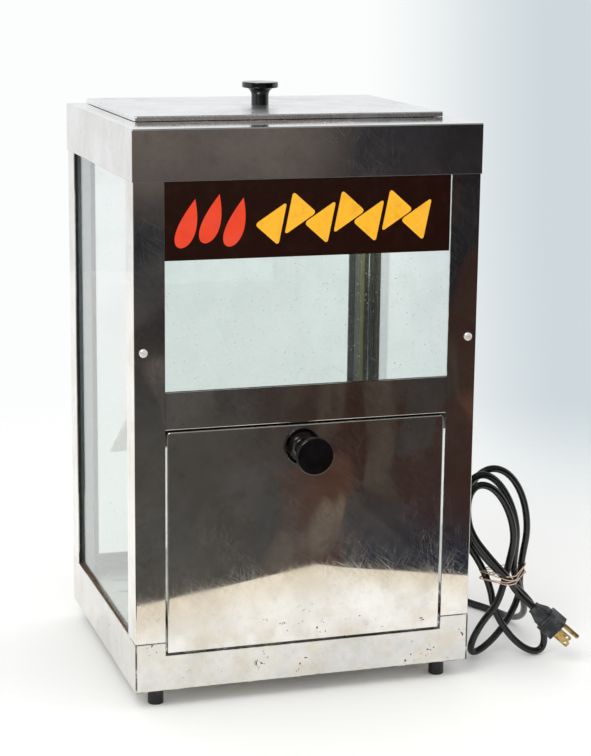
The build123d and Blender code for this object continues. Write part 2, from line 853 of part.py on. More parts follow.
def knob_screw(base):
    """A pan head screw whose head bears on the sheet and whose shank fills the knob's bore."""
    with BuildPart() as screw:
        with BuildSketch(base):
            with BuildLine():
                Polyline(
                    (0, -skin - knob_screw_head),
                    (knob_screw_head_diameter / 2, -skin - knob_screw_head),
                    (knob_screw_head_diameter / 2, -skin),
                    (knob_screw_diameter / 2, -skin),
                    (knob_screw_diameter / 2, knob_bore_depth - knob_screw_tip_gap),
                    (0, knob_bore_depth - knob_screw_tip_gap),
                    close=True,
                )
            make_face()
        revolve(axis=Axis(base.origin, base.y_dir))
    return screw


lid_knob_base = Plane(origin=(lid_shift, lid_y, lid_top), x_dir=(1, 0, 0), z_dir=(0, -1, 0))
door_knob_base = Plane(
    origin=(0, front, door_knob_z), x_dir=(1, 0, 0), z_dir=(0, 0, -1)
)
save(turned_knob(lid_knob_base), "lid_knob")
save(knob_screw(lid_knob_base), "lid_knob_screw")
save(turned_knob(door_knob_base), "door_knob")
save(knob_screw(door_knob_base), "door_knob_screw")

# ------------------------------------------------------------------ heated base
deck_front = front + door_depth + deck_front_gap
deck_rear = rear_glass_in - deck_rear_gap
deck_half = angle_side - deck_clearance
deck_middle = (deck_front + deck_rear) / 2

with BuildPart() as floor_deck:
    with BuildSketch(Plane.XY.offset(deck_top)):
        with Locations((0, deck_middle)):
            Rectangle(2 * deck_half, deck_rear - deck_front)
            with GridLocations(slot_pitch_x, slot_pitch_y, slot_columns, slot_rows):
                SlotOverall(slot_length, slot_width, mode=Mode.SUBTRACT)
    extrude(amount=-skin)
    with BuildSketch(Plane.YZ.offset(-deck_half)):
        with Locations((deck_middle, (bottom_plate_top + deck_top) / 2)):
            Rectangle(deck_rear - deck_front, deck_top - bottom_plate_top)
    extrude(amount=skin)
    with BuildSketch(Plane.YZ.offset(deck_half)):
        with Locations((deck_middle, (bottom_plate_top + deck_top) / 2)):
            Rectangle(deck_rear - deck_front, deck_top - bottom_plate_top)
    extrude(amount=-skin)
    with BuildSketch(Plane.XZ.offset(-deck_front)):
        with Locations((0, (bottom_plate_top + deck_top) / 2)):
            Rectangle(2 * deck_half, deck_top - bottom_plate_top)
    extrude(amount=-skin)
    with BuildSketch(Plane.XZ.offset(-deck_rear)):
        with Locations((0, deck_top - deck_lip / 2)):
            Rectangle(2 * deck_half, deck_lip)
    extrude(amount=skin)
save(floor_deck, "floor_deck")

element_z = bottom_plate_top + element_height
element_right = deck_half - element_margin
element_rows = [middle + (row - 1.5) * element_pitch for row in range(4)]

with BuildPart() as heating_element:
    with BuildLine() as element_path:
        FilletPolyline(
            (element_right, element_rows[3], element_z),
            (-element_right, element_rows[3], element_z),
            (-element_right, element_rows[2], element_z),
            (element_right - element_end, element_rows[2], element_z),
            (element_right - element_end, element_rows[1], element_z),
            (-element_right, element_rows[1], element_z),
            (-element_right, element_rows[0], element_z),
            (element_right, element_rows[0], element_z),
            radius=element_turn_radius,
        )
    with BuildSketch(Plane(element_path.line @ 0, z_dir=element_path.line % 0)):
        Circle(element_diameter / 2)
    sweep()
save(heating_element, "heating_element")

element_bends = {"left": -element_right, "right": element_right - element_end}
for across, bend_x in element_bends.items():
    with BuildPart() as element_rack:
        rack_x = bend_x - sides[across] * rack_inset
        rack_run = 4 * element_pitch
        with BuildSketch(Plane.YZ.offset(rack_x)):
            with Locations((middle, bottom_plate_top + rack_height / 2)):
                Rectangle(rack_run, rack_height)
            with Locations(*((row, element_z) for row in element_rows)):
                Circle(element_diameter / 2 + rack_clearance, mode=Mode.SUBTRACT)
        extrude(amount=rack_thickness)
        with BuildSketch(Plane.XY.offset(bottom_plate_top)):
            with Locations((rack_x - rack_foot / 2, middle)):
                Rectangle(rack_foot, rack_run)
        extrude(amount=rack_thickness)
    save(element_rack, f"element_rack_{across}")

with BuildPart() as thermostat:
    with BuildSketch(Plane.XY.offset(bottom_plate_top)):
        with Locations((thermostat_x, thermostat_y)):
            SlotOverall(thermostat_flange_length, thermostat_flange_width)
    extrude(amount=skin)
    with BuildSketch(Plane.XY.offset(bottom_plate_top)):
        with Locations((thermostat_x, thermostat_y)):
            Circle(thermostat_diameter / 2)
    extrude(amount=thermostat_height)
    fillet(thermostat.edges().sort_by(Axis.Z)[-1], skin)
    with BuildSketch(Plane.XY.offset(bottom_plate_top + thermostat_tab_level)):
        with Locations((thermostat_x, thermostat_y)):
            Rectangle(tab_width, thermostat_diameter + 2 * tab_length)
    extrude(amount=tab_thickness)
save(thermostat, "thermostat")

# ------------------------------------------------------------------ switch and gland
rocker_lean = radians(rocker_throw / 2)
rocker_y = rear - rocker_pivot_depth
rocker_end = (
    switch_reach + rocker_pivot_depth - rocker_width / 2 * sin(rocker_lean)
) / cos(rocker_lean)
well_half = rocker_width / 2 * cos(rocker_lean) + rocker_end * sin(rocker_lean) + rocker_clearance
bezel_face = rear + switch_bezel_thickness

with BuildPart() as switch_housing:
    with BuildSketch(Plane.XZ.offset(-rear)):
        with Locations((switch_x, switch_z)):
            RectangleRounded(switch_bezel_width, switch_bezel_height, switch_bezel_radius)
    extrude(amount=-switch_bezel_thickness)
    with BuildSketch(Plane.XZ.offset(-rear)):
        with Locations((switch_x, switch_z)):
            Rectangle(switch_body_width, switch_body_height)
    extrude(amount=switch_body_depth)
    with BuildSketch(Plane.XZ.offset(-bezel_face)):
        with Locations((switch_x, switch_z)):
            Rectangle(2 * well_half, rocker_height + 2 * rocker_clearance)
    extrude(amount=switch_well, mode=Mode.SUBTRACT)
    with BuildSketch(Plane.XY.offset(switch_z)):
        with Locations((switch_x, rocker_y)):
            Circle(trunnion_radius + pin_running_clearance)
    extrude(amount=switch_body_height, both=True, mode=Mode.SUBTRACT)
    with BuildSketch(Plane.XZ.offset(-rear + switch_body_depth)):
        with Locations((switch_x, switch_z)):
            with GridLocations(switch_tab_pitch, 0, 2, 1):
                Rectangle(tab_thickness, tab_width)
    extrude(amount=tab_length)
save(switch_housing, "switch_housing")

with BuildPart() as switch_rocker:
    rocker_plane = Plane(
        origin=(switch_x, rocker_y, switch_z),
        x_dir=(cos(rocker_lean), -sin(rocker_lean), 0),
        z_dir=(0, 0, 1),
    )
    with BuildSketch(rocker_plane):
        with BuildLine():
            ThreePointArc(
                (-rocker_width / 2, rocker_end),
                (0, rocker_end - rocker_dish),
                (rocker_width / 2, rocker_end),
            )
            Polyline(
                (rocker_width / 2, rocker_end),
                (rocker_width / 2, 0),
                (-rocker_width / 2, 0),
                (-rocker_width / 2, rocker_end),
            )
        make_face()
    extrude(amount=rocker_height / 2, both=True)
    with BuildSketch(rocker_plane):
        Circle(trunnion_radius)
    extrude(amount=rocker_height / 2 + rocker_clearance + trunnion_reach, both=True)
save(switch_rocker, "switch_rocker")

with BuildPart() as cord_gland:
    gland_plane = Plane(origin=(gland_x, rear, gland_z), x_dir=(1, 0, 0), z_dir=(0, 1, 0))
    with BuildSketch(gland_plane):
        Circle(gland_flange_diameter / 2)
    extrude(amount=gland_flange_thickness)
    with BuildSketch(gland_plane.offset(gland_flange_thickness)):
        Circle(gland_root_diameter / 2)
    with BuildSketch(gland_plane.offset(gland_length)):
        Circle(cord_diameter / 2 + gland_wall)
    loft()
    with BuildSketch(gland_plane):
        Circle(gland_hole_diameter / 2)
    extrude(amount=-skin)
    with BuildSketch(gland_plane.offset(-skin)):
        Circle(gland_flange_diameter / 2)
    extrude(amount=-gland_flange_thickness)
save(cord_gland, "cord_gland")

# ------------------------------------------------------------------ leads inside the base
gland_inner = rear_in - gland_flange_thickness
switch_tab_end = rear - switch_body_depth - tab_length
tab_reach = thermostat_diameter / 2 + tab_length
thermostat_tab_z = bottom_plate_top + thermostat_tab_level + tab_thickness / 2
half_pitch = switch_tab_pitch / 2


def lead(*points):
    """A thin insulated wire along its corner points."""
    with BuildPart() as wire:
        with BuildLine() as path:
            FilletPolyline(*points, radius=lead_bend)
        with BuildSketch(Plane(path.line @ 0, z_dir=path.line % 0)):
            Circle(lead_diameter / 2)
        sweep()
    return wire.part


with BuildPart() as neutral_lead:
    add(
        lead(
            (gland_x + lead_diameter, gland_inner, gland_z),
            (gland_x + lead_diameter, rear - lead_entry, gland_z),
            (gland_x + lead_sway, rear - lead_depth, gland_z - lead_fall),
            (gland_x + lead_sway, element_rows[3], element_z),
            (element_right, element_rows[3], element_z),
        )
    )
save(neutral_lead, "neutral_lead")

with BuildPart() as live_leads:
    add(
        lead(
            (gland_x - lead_diameter, gland_inner, gland_z),
            (gland_x - lead_diameter, rear - lead_entry, gland_z),
            (gland_x - lead_sway, rear - lead_depth, gland_z - lead_fall),
            (switch_x + half_pitch, rear - lead_depth, switch_z),
            (switch_x + half_pitch, switch_tab_end, switch_z),
        )
    )
    add(
        lead(
            (switch_x - half_pitch, switch_tab_end, switch_z),
            (switch_x - half_pitch, rear - lead_depth, switch_z),
            (switch_x + lead_sway, rear - lead_slope, bottom_plate_top + lead_rise),
            (thermostat_x - lead_sway, rear - lead_slope, bottom_plate_top + lead_rise),
            (thermostat_x, thermostat_y + 2 * lead_run_in, thermostat_tab_z),
            (thermostat_x, thermostat_y + tab_reach, thermostat_tab_z),
        )
    )
    add(
        lead(
            (thermostat_x, thermostat_y - tab_reach, thermostat_tab_z),
            (thermostat_x, thermostat_y - 2 * lead_run_in, thermostat_tab_z),
            (thermostat_x - lead_fall, element_rows[0], element_z),
            (element_right, element_rows[0], element_z),
        )
    )
save(live_leads, "live_leads")

# ------------------------------------------------------------------ mains lead
# The lead leaves the gland, lies on the counter beside the cabinet and ends in a figure-eight
# hank, held by a rubber band, with the plug hanging out of it.
gland_end = (gland_x, rear + gland_length, gland_z)
cord_rest = cord_diameter / 2 + cord_lift  # height of the lead's axis on the counter


def beside(x, y, z):
    """A point given from the cabinet's front right corner, as outwards, back and up."""
    return Vector(side + x, front + y, z)


def behind(x, y, z):
    """A point given from the gland's end, as sideways and back, and from the counter up."""
    return Vector(gland_x + x, rear + gland_length + y, z)


plug_start = beside(83.5, 19.8, 63)
plug_axis = Vector(0.68, -0.37, -0.63).normalized()
hank_start = beside(84.5, 56.5, 96)


def lobe(centre, half_length, half_width, lean, first, last, steps, depths):
    """Corner points along part of a leaning ellipse that stands beside the cabinet.

    The centre is in x and z, lean turns the long axis from +Z towards +X, first and last are
    angles from its far end, and depths are the y of the start, the middle and the end.
    """
    points = []
    for step in range(steps):
        share = step / (steps - 1)
        angle = radians(first + (last - first) * share)
        along = half_length * cos(angle)
        across = half_width * sin(angle)
        if share < 0.5:
            depth = depths[0] + (depths[1] - depths[0]) * 2 * share
        else:
            depth = depths[1] + (depths[2] - depths[1]) * (2 * share - 1)
        points.append(
            beside(
                centre[0] + along * sin(radians(lean)) + across * cos(radians(lean)),
                depth,
                centre[1] + along * cos(radians(lean)) - across * sin(radians(lean)),
            )
        )
    return points


hank_route = [
    hank_start,
    *lobe((49.5, 151), 66, 37, -12, 138, -100, 8, (53.5, 38.5, 50.5)),
    beside(34.5, 49.5, 106),
    *lobe((77.5, 45), 49, 20, 146, 156, -128, 10, (46.5, 41.5, 42.5)),
    beside(52.5, 41.5, 97),
    *lobe((39.5, 158), 57, 27, -21, -115, 146, 9, (40.5, 30.5, 42.5)),
    beside(70.5, 46.5, 96),
    *lobe((53.5, 44), 46, 17, -145, -160, 111, 10, (54.5, 54.5, 33.5)),
    *lobe((34.5, 156), 50, 24, -22, 154, -89, 9, (32.5, 21.5, 25.5)),
    beside(33.5, 23.5, 120),
    beside(55.5, 21.5, 96),
    plug_start - plug_axis * plug_lead_in,
    plug_start,
]

hank_direction = (hank_route[1] - hank_start).normalized()
tail_route = [
    Vector(*gland_end),
    behind(0, 26.5, gland_z),
    behind(10, 55.5, 30),
    behind(21, 73.5, 14),
    behind(41, 87.5, 5.5),
    behind(71, 92.5, cord_rest),
    behind(103, 84.5, cord_rest),
    behind(131, 55.5, cord_rest),
    behind(141, 13.5, cord_rest),
    beside(86.5, 304.5, cord_rest),
    beside(79.5, 260.5, cord_rest),
    beside(88.5, 218.5, cord_rest),
    beside(106.5, 184.5, cord_rest),
    beside(116.5, 146.5, 5),
    beside(112.5, 106.5, 22),
    beside(101.5, 80.5, 46),
    hank_start - hank_direction * tail_lead_out,
    hank_start,
]


def bend_radii(route):
    """The largest even bends that a route's runs leave room for, one for each corner."""
    radii = []
    for before, corner, after in zip(route, route[1:], route[2:]):
        run_in = corner - before
        run_out = after - corner
        half_turn = radians(run_in.get_angle(run_out)) / 2
        radii.append(bend_share * min(run_in.length, run_out.length) / tan(half_turn))
    return radii


def least_gap(line, spacing=2.0, skipped=26.0):
    """Least free space between stretches of one cord that are not next to each other."""
    count = int(line.length / spacing)
    points = [line @ (index / count) for index in range(count + 1)]
    apart = int(skipped / spacing)
    return min(
        (first - second).length
        for index, first in enumerate(points)
        for second in points[index + apart:]
    ) - cord_diameter


def cord_along(route, name):
    """A round cord along a route, with its bends, its gap to itself and its volume printed."""
    radii = bend_radii(route)
    print(f"{name} bends: " + " ".join(f"{radius:.0f}" for radius in radii))
    with BuildPart() as cord:
        with BuildLine() as path:
            FilletPolyline(*route, radius=radii)
        with BuildSketch(Plane(path.line @ 0, z_dir=path.line % 0)):
            Circle(cord_diameter / 2)
        sweep()
    centre_line = path.wire()
    share = cord.part.volume / (pi * (cord_diameter / 2) ** 2 * centre_line.length)
    print(f"{name}: {centre_line.length:.0f} mm long, volume {share:.4f} of its tube's")
    print(f"{name}: least gap to itself {least_gap(centre_line):.2f} mm")
    return cord


save(cord_along(tail_route, "cord_tail"), "cord_tail")
save(cord_along(hank_route, "cord_hank"), "cord_hank")

band_turns = (
    (beside(32.4, 51.3, 88), beside(98.6, 67.3, 88), beside(59.3, 14.1, 88)),
    (beside(29.2, 52.0, 96), beside(98.2, 65.2, 96), beside(54.5, 12.8, 96)),
)

with BuildPart() as cord_band:
    for band_turn in band_turns:
        with BuildLine() as band_path:
            FilletPolyline(*band_turn, radius=band_bend, close=True)
        with BuildSketch(Plane(band_path.line @ 0, z_dir=band_path.line % 0)):
            Circle(band_wire / 2)
        sweep()
save(cord_band, "cord_band")

# ------------------------------------------------------------------ plug
plug_ground_side = Vector(0.4, -0.4, 0.82)
plug_plane = Plane(
    origin=plug_start, x_dir=plug_ground_side.cross(plug_axis), z_dir=plug_axis
)

with BuildPart() as plug_body:
    with BuildSketch(plug_plane):
        RectangleRounded(plug_neck_width, plug_neck_width, plug_corner_radius)
    extrude(amount=plug_neck_length)
    with BuildSketch(plug_plane.offset(plug_neck_length)):
        RectangleRounded(plug_neck_width, plug_neck_width, plug_corner_radius)
    with BuildSketch(plug_plane.offset(plug_grip_start)):
        RectangleRounded(plug_grip_width, plug_grip_height, plug_corner_radius)
    loft()
    with BuildSketch(plug_plane.offset(plug_grip_start)):
        RectangleRounded(plug_grip_width, plug_grip_height, plug_corner_radius)
    extrude(amount=plug_shoulder - plug_grip_start)
    with BuildSketch(plug_plane.offset(plug_shoulder)):
        RectangleRounded(plug_face_width, plug_face_height, plug_corner_radius)
    extrude(amount=plug_length - plug_shoulder)
    # ribs across the two flat sides of the face block
    groove_plane = Plane(
        origin=plug_plane.from_local_coords((0, 0, (plug_shoulder + plug_length) / 2)),
        x_dir=plug_axis,
        z_dir=plug_plane.x_dir,
    )
    for groove_side in (-1, 1):
        with BuildSketch(groove_plane.offset(groove_side * plug_face_width / 2)):
            with GridLocations(plug_groove_pitch, 0, plug_groove_count, 1):
                Rectangle(plug_groove_width, plug_face_height)
        extrude(amount=-groove_side * plug_groove_depth, mode=Mode.SUBTRACT)
save(plug_body, "plug_body")

with BuildPart() as plug_blades:
    blade_side = Plane(
        origin=plug_plane.from_local_coords((0, -blade_drop, plug_length)),
        x_dir=plug_axis,
        z_dir=plug_plane.x_dir,
    )
    for blade_x in (-blade_spacing / 2, blade_spacing / 2):
        with BuildSketch(blade_side.offset(blade_x - blade_thickness / 2)) as blade_outline:
            with Locations((blade_length / 2, 0)):
                Rectangle(blade_length, blade_width)
            fillet(blade_outline.vertices().group_by(Axis.X)[-1], blade_tip_radius)
            with Locations((blade_length - blade_hole_inset, 0)):
                Circle(blade_hole_diameter / 2, mode=Mode.SUBTRACT)
        extrude(amount=blade_thickness)
save(plug_blades, "plug_blades")

with BuildPart() as plug_ground_pin:
    with BuildSketch(plug_plane.offset(plug_length)):
        with Locations((0, ground_rise)):
            Circle(ground_pin_diameter / 2)
    extrude(amount=ground_pin_length)
    pin_tip = plug_plane.from_local_coords((0, ground_rise, plug_length + ground_pin_length))
    fillet(
        plug_ground_pin.edges().filter_by(GeomType.CIRCLE).sort_by_distance(pin_tip)[0],
        ground_pin_tip_radius,
    )
save(plug_ground_pin, "plug_ground_pin")
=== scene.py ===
"""Looks of the countertop chip warmer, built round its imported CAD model. Metres."""

from math import cos, pi, radians, sin

import bmesh
import bpy
from mathutils import Matrix, Vector
from mathutils.geometry import convex_hull_2d


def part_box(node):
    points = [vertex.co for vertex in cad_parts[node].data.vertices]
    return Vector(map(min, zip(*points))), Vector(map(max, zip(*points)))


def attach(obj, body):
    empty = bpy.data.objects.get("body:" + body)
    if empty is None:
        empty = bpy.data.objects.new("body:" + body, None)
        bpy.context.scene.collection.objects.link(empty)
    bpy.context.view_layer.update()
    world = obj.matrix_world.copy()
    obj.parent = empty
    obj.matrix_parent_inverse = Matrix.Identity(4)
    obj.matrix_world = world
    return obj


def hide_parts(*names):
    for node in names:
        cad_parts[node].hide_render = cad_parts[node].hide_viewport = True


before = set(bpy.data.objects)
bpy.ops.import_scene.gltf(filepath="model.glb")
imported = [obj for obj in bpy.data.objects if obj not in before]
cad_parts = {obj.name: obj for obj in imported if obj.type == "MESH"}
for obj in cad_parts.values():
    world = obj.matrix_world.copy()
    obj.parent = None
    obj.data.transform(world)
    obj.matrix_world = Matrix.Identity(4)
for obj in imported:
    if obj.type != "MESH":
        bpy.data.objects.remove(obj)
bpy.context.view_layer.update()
mm = 0.001

# ------------------------------------------------------------------ camera
camera_data = bpy.data.cameras.new("camera")
camera_data.sensor_width = 36.0
camera_data.lens = 94.40
camera = bpy.data.objects.new("camera", camera_data)
bpy.context.scene.collection.objects.link(camera)
camera_place = (-0.5974, -1.9628, 0.7538)
heading, tilt_down, roll = -17.781, 12.435, 0.658  # degrees
camera.matrix_world = (
    Matrix.Translation(camera_place)
    @ Matrix.Rotation(radians(heading), 4, "Z")
    @ Matrix.Rotation(radians(90 - tilt_down), 4, "X")
    @ Matrix.Rotation(radians(roll), 4, "Z")
)
bpy.context.scene.camera = camera
bpy.context.scene.view_settings.view_transform = "Standard"


# ------------------------------------------------------------------ node helpers
def linear(hex_colour):
    """The linear RGBA of an sRGB hex colour."""
    channels = [int(hex_colour[at : at + 2], 16) / 255 for at in (1, 3, 5)]
    return (*[c / 12.92 if c <= 0.04045 else ((c + 0.055) / 1.055) ** 2.4 for c in channels], 1.0)


def add(tree, kind, inputs=None, **settings):
    """Add a node with its settings, and fill its inputs with numbers, hex colours or links."""
    node = tree.nodes.new(kind)
    for name, value in settings.items():
        setattr(node, name, value)
    for key, value in (inputs or {}).items():
        if isinstance(value, bpy.types.Node):
            value = value.outputs[0]
        if isinstance(value, bpy.types.NodeSocket):
            tree.links.new(value, node.inputs[key])
        else:
            node.inputs[key].default_value = linear(value) if isinstance(value, str) else value
    return node


# input places of the Mix node's colour version
FACTOR, FIRST, SECOND = 0, 6, 7
MIXED = 2


def blend_colours(tree, factor, first, second):
    """A colour between two, by a factor."""
    mix = add(
        tree,
        "ShaderNodeMix",
        {FACTOR: factor, FIRST: first, SECOND: second},
        data_type="RGBA",
    )
    return mix.outputs[MIXED]


def between(tree, value, low, high, to_low=0.0, to_high=1.0):
    """A value's smooth rise from low to high."""
    return add(
        tree,
        "ShaderNodeMapRange",
        {"Value": value, "From Min": low, "From Max": high, "To Min": to_low, "To Max": to_high},
        interpolation_type="SMOOTHSTEP",
    )


def times(tree, first, second):
    """Two values multiplied."""
    return add(tree, "ShaderNodeMath", {0: first, 1: second}, operation="MULTIPLY")


def noise(tree, place, size, detail=2.0, roughness=0.5, stretch=(1, 1, 1)):
    """Cloudy noise with blotches of a real size in metres, stretched along the axes."""
    mapping = add(tree, "ShaderNodeMapping", {"Vector": place, "Scale": stretch})
    return add(
        tree,
        "ShaderNodeTexNoise",
        {"Vector": mapping, "Scale": 1 / size, "Detail": detail, "Roughness": roughness},
    ).outputs["Fac"]


def material_named(name, **sockets):
    """A material with its shader's constant sockets set."""
    material = bpy.data.materials.new(name)
    material.use_nodes = True
    tree = material.node_tree
    shader = tree.nodes["Principled BSDF"]
    for socket, value in sockets.items():
        label = socket.replace("_", " ").title().replace("Ior", "IOR")
        shader.inputs[label].default_value = linear(value) if isinstance(value, str) else value
    place = add(tree, "ShaderNodeTexCoord").outputs["Object"]
    return material, tree, shader, place


# ------------------------------------------------------------------ surroundings
world = bpy.data.worlds.new("photo_studio")
bpy.context.scene.world = world
world.use_nodes = True
sky = world.node_tree
direction = add(sky, "ShaderNodeTexCoord").outputs["Generated"]
east, north, up = add(sky, "ShaderNodeSeparateXYZ", {"Vector": direction}).outputs
rays = add(sky, "ShaderNodeLightPath")

# what the lens and the glass see behind the cabinet: white, turning grey to the right
backdrop = blend_colours(sky, between(sky, east, 0.33, 0.425), "#fcfdfd", "#cfd9dd")

# what the polished metal mirrors: the dim room in front, with crisp dark and brown shapes.
# east and up are the mirrored direction; the front metal sees east 0.23 to 0.39 and up -0.08
# (header) to -0.33 (just above the base)
shade = noise(sky, direction, 0.10, detail=2.0)
room = blend_colours(sky, between(sky, shade, 0.36, 0.62), "#282b31", "#645e5a")
shapes = noise(sky, direction, 0.062, detail=2.0, roughness=0.45, stretch=(1.0, 1.0, 0.55))
brown_side = times(sky, between(sky, east, 0.25, 0.31), between(sky, up, -0.09, -0.15))
brown_shapes = times(sky, between(sky, shapes, 0.435, 0.450), brown_side)
room = blend_colours(sky, times(sky, brown_shapes, 0.8), room, "#5a3827")
veins = between(sky, noise(sky, direction, 0.03, detail=2.0, stretch=(1.3, 1.0, 0.35)), 0.54, 0.60)
veins = times(sky, veins, between(sky, up, -0.185, -0.215))
room = blend_colours(sky, times(sky, veins, brown_shapes), room, "#75685a")
black_shapes = noise(sky, direction, 0.075, detail=1.0, stretch=(0.7, 1.0, 0.8))
darkened = times(sky, between(sky, black_shapes, 0.52, 0.535), 0.6)
room = blend_colours(sky, darkened, room, "#191c21")
far_right = times(sky, between(sky, east, 0.366, 0.372), between(sky, up, -0.228, -0.218))
room = blend_colours(sky, times(sky, far_right, 0.6), room, "#1d1c1e")
low_down = between(sky, up, -0.272, -0.300)
right_low = times(sky, low_down, between(sky, east, 0.300, 0.330, 0.15, 0.70))
room = blend_colours(sky, right_low, room, "#1b2b3d")
left_low = times(sky, between(sky, east, 0.33, 0.26), between(sky, up, -0.20, -0.26))
room = blend_colours(sky, times(sky, left_low, 0.6), room, "#5f5d59")
high_up = times(sky, between(sky, up, -0.150, -0.105), between(sky, east, 0.320, 0.315))
room = blend_colours(sky, times(sky, high_up, 0.8), room, "#766d67")
facing_room = times(sky, between(sky, north, -0.2, -0.45), between(sky, up, 0.55, 0.30))
above = blend_colours(sky, between(sky, up, 0.40, 0.62), "#f4f6f7", "#83868a")
mirrored = blend_colours(sky, facing_room, above, room)
lighting = blend_colours(sky, rays.outputs["Is Glossy Ray"], "#ffffff", mirrored)
seen = add(
    sky,
    "ShaderNodeMath",
    {0: rays.outputs["Is Camera Ray"], 1: rays.outputs["Is Transmission Ray"]},
    operation="MAXIMUM",
)
surroundings = blend_colours(sky, seen.outputs[0], lighting, backdrop)
sky.links.new(surroundings, sky.nodes["Background"].inputs["Color"])
sky.nodes["Background"].inputs["Strength"].default_value = 1.0

key_data = bpy.data.lights.new("soft_key", "AREA")
key_data.shape = "DISK"
key_data.size = 1.3
key_data.energy = 24.0
key = bpy.data.objects.new("soft_key", key_data)
bpy.context.scene.collection.objects.link(key)
key_place = Vector((-1.3, -1.5, 2.3))
key_aim = Vector((0, 0, 0.25))
key.matrix_world = Matrix.Translation(key_place) @ (
    (key_aim - key_place).to_track_quat("-Z", "Y").to_matrix().to_4x4()
)

# floor: a pale paper sheet that melts into the backdrop, and ends in front of the cabinet for
# the mirror images only
floor_radius = 2.6
floor_mesh = bmesh.new()
bmesh.ops.create_circle(floor_mesh, cap_ends=True, segments=96, radius=floor_radius)
floor_data = bpy.data.meshes.new("floor")
floor_mesh.to_mesh(floor_data)
floor_mesh.free()
floor = bpy.data.objects.new("floor", floor_data)
bpy.context.scene.collection.objects.link(floor)

paper, paper_tree, paper_shader, paper_place = material_named(
    "white_seamless_paper", base_color="#fdfdfb", roughness=0.75, specular_ior_level=0.2
)
paper_rays = add(paper_tree, "ShaderNodeLightPath")
reach = add(
    paper_tree, "ShaderNodeVectorMath", {0: paper_place}, operation="LENGTH"
).outputs["Value"]
paper_seen = add(
    paper_tree,
    "ShaderNodeMath",
    {0: paper_rays.outputs["Is Camera Ray"], 1: paper_rays.outputs["Is Transmission Ray"]},
    operation="MAXIMUM",
)
faded = times(paper_tree, between(paper_tree, reach, 0.35, 1.35), paper_seen)
# the sheet's front edge comes to a blunt corner: each side by the direction across it, and by how
# far before the origin it lies in that direction
paper_sides = (((0.367, 1.0, 0.0), 0.494), ((-0.541, 1.0, 0.0), 0.627))
inside = []
for across_side, before_origin in paper_sides:
    along_normal = add(
        paper_tree, "ShaderNodeVectorMath", {0: paper_place, 1: across_side},
        operation="DOT_PRODUCT",
    ).outputs["Value"]
    inside.append(
        add(paper_tree, "ShaderNodeMath", {0: along_normal, 1: before_origin}, operation="ADD")
    )
edge = add(paper_tree, "ShaderNodeMath", {0: inside[0], 1: inside[1]}, operation="MINIMUM")
cut_off = times(
    paper_tree, between(paper_tree, edge, 0.0, -0.006), paper_rays.outputs["Is Glossy Ray"]
)
gone = add(paper_tree, "ShaderNodeMath", {0: faded, 1: cut_off}, operation="MAXIMUM")
# painted reflection: near its front edge the paper turns cream in the metal's mirror images only
cream_in_mirror_images = times(paper_tree, between(paper_tree, edge, 0.13, 0.0), paper_rays.outputs["Is Glossy Ray"])
paper_tree.links.new(
    blend_colours(paper_tree, cream_in_mirror_images, "#fdfdfb", "#efe6d3"), paper_shader.inputs["Base Color"]
)
see_through = add(paper_tree, "ShaderNodeBsdfTransparent")
paper_mix = add(
    paper_tree, "ShaderNodeMixShader", {0: gone, 1: paper_shader.outputs[0], 2: see_through}
)
paper_tree.links.new(paper_mix.outputs[0], paper_tree.nodes["Material Output"].inputs["Surface"])
floor_data.materials.append(paper)


# ------------------------------------------------------------------ finishes
# edges of the sheet metal, where shade is painted into the seams
base_low, base_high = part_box("base_front")
base_side_x = base_high.x
base_face_y = base_low.y
base_foot_z = base_low.z
base_top_z = base_high.z
door_edge = 0.1466
notch_level = 0.0575
# the fold of the rear right angle, whose legs run from it to the front and to the left
fold_x = 0.1703
fold_y = 0.1573


def scratched(tree, place, angles, width, length, threshold):
    """Hairline scratches in several directions that gather in patches, as a mask."""
    axes = add(tree, "ShaderNodeSeparateXYZ", {"Vector": place})
    x, y, z = axes.outputs
    flat_u = add(tree, "ShaderNodeMath", {0: x, 1: y}, operation="ADD")
    slant = add(tree, "ShaderNodeMath", {0: x, 1: y}, operation="SUBTRACT")
    flat_v = add(tree, "ShaderNodeMath", {0: z, 1: slant}, operation="ADD")
    flat = add(tree, "ShaderNodeCombineXYZ", {"X": flat_u, "Y": flat_v})
    deepest = None
    for angle in angles:
        turned = add(
            tree, "ShaderNodeMapping",
            {"Vector": flat, "Rotation": (0, 0, radians(angle)), "Scale": (length, width, 1)},
            vector_type="TEXTURE",
        )
        lines = add(
            tree, "ShaderNodeTexNoise", {"Vector": turned, "Scale": 1.0, "Detail": 1.0},
            noise_dimensions="2D",
        ).outputs["Fac"]
        mask = between(tree, lines, threshold, threshold + 0.05)
        deepest = mask if deepest is None else add(
            tree, "ShaderNodeMath", {0: deepest, 1: mask}, operation="MAXIMUM"
        )
    patches = between(tree, noise(tree, place, 0.06, detail=2.0), 0.35, 0.65, 0.35, 0.9)
    return times(tree, deepest, patches)


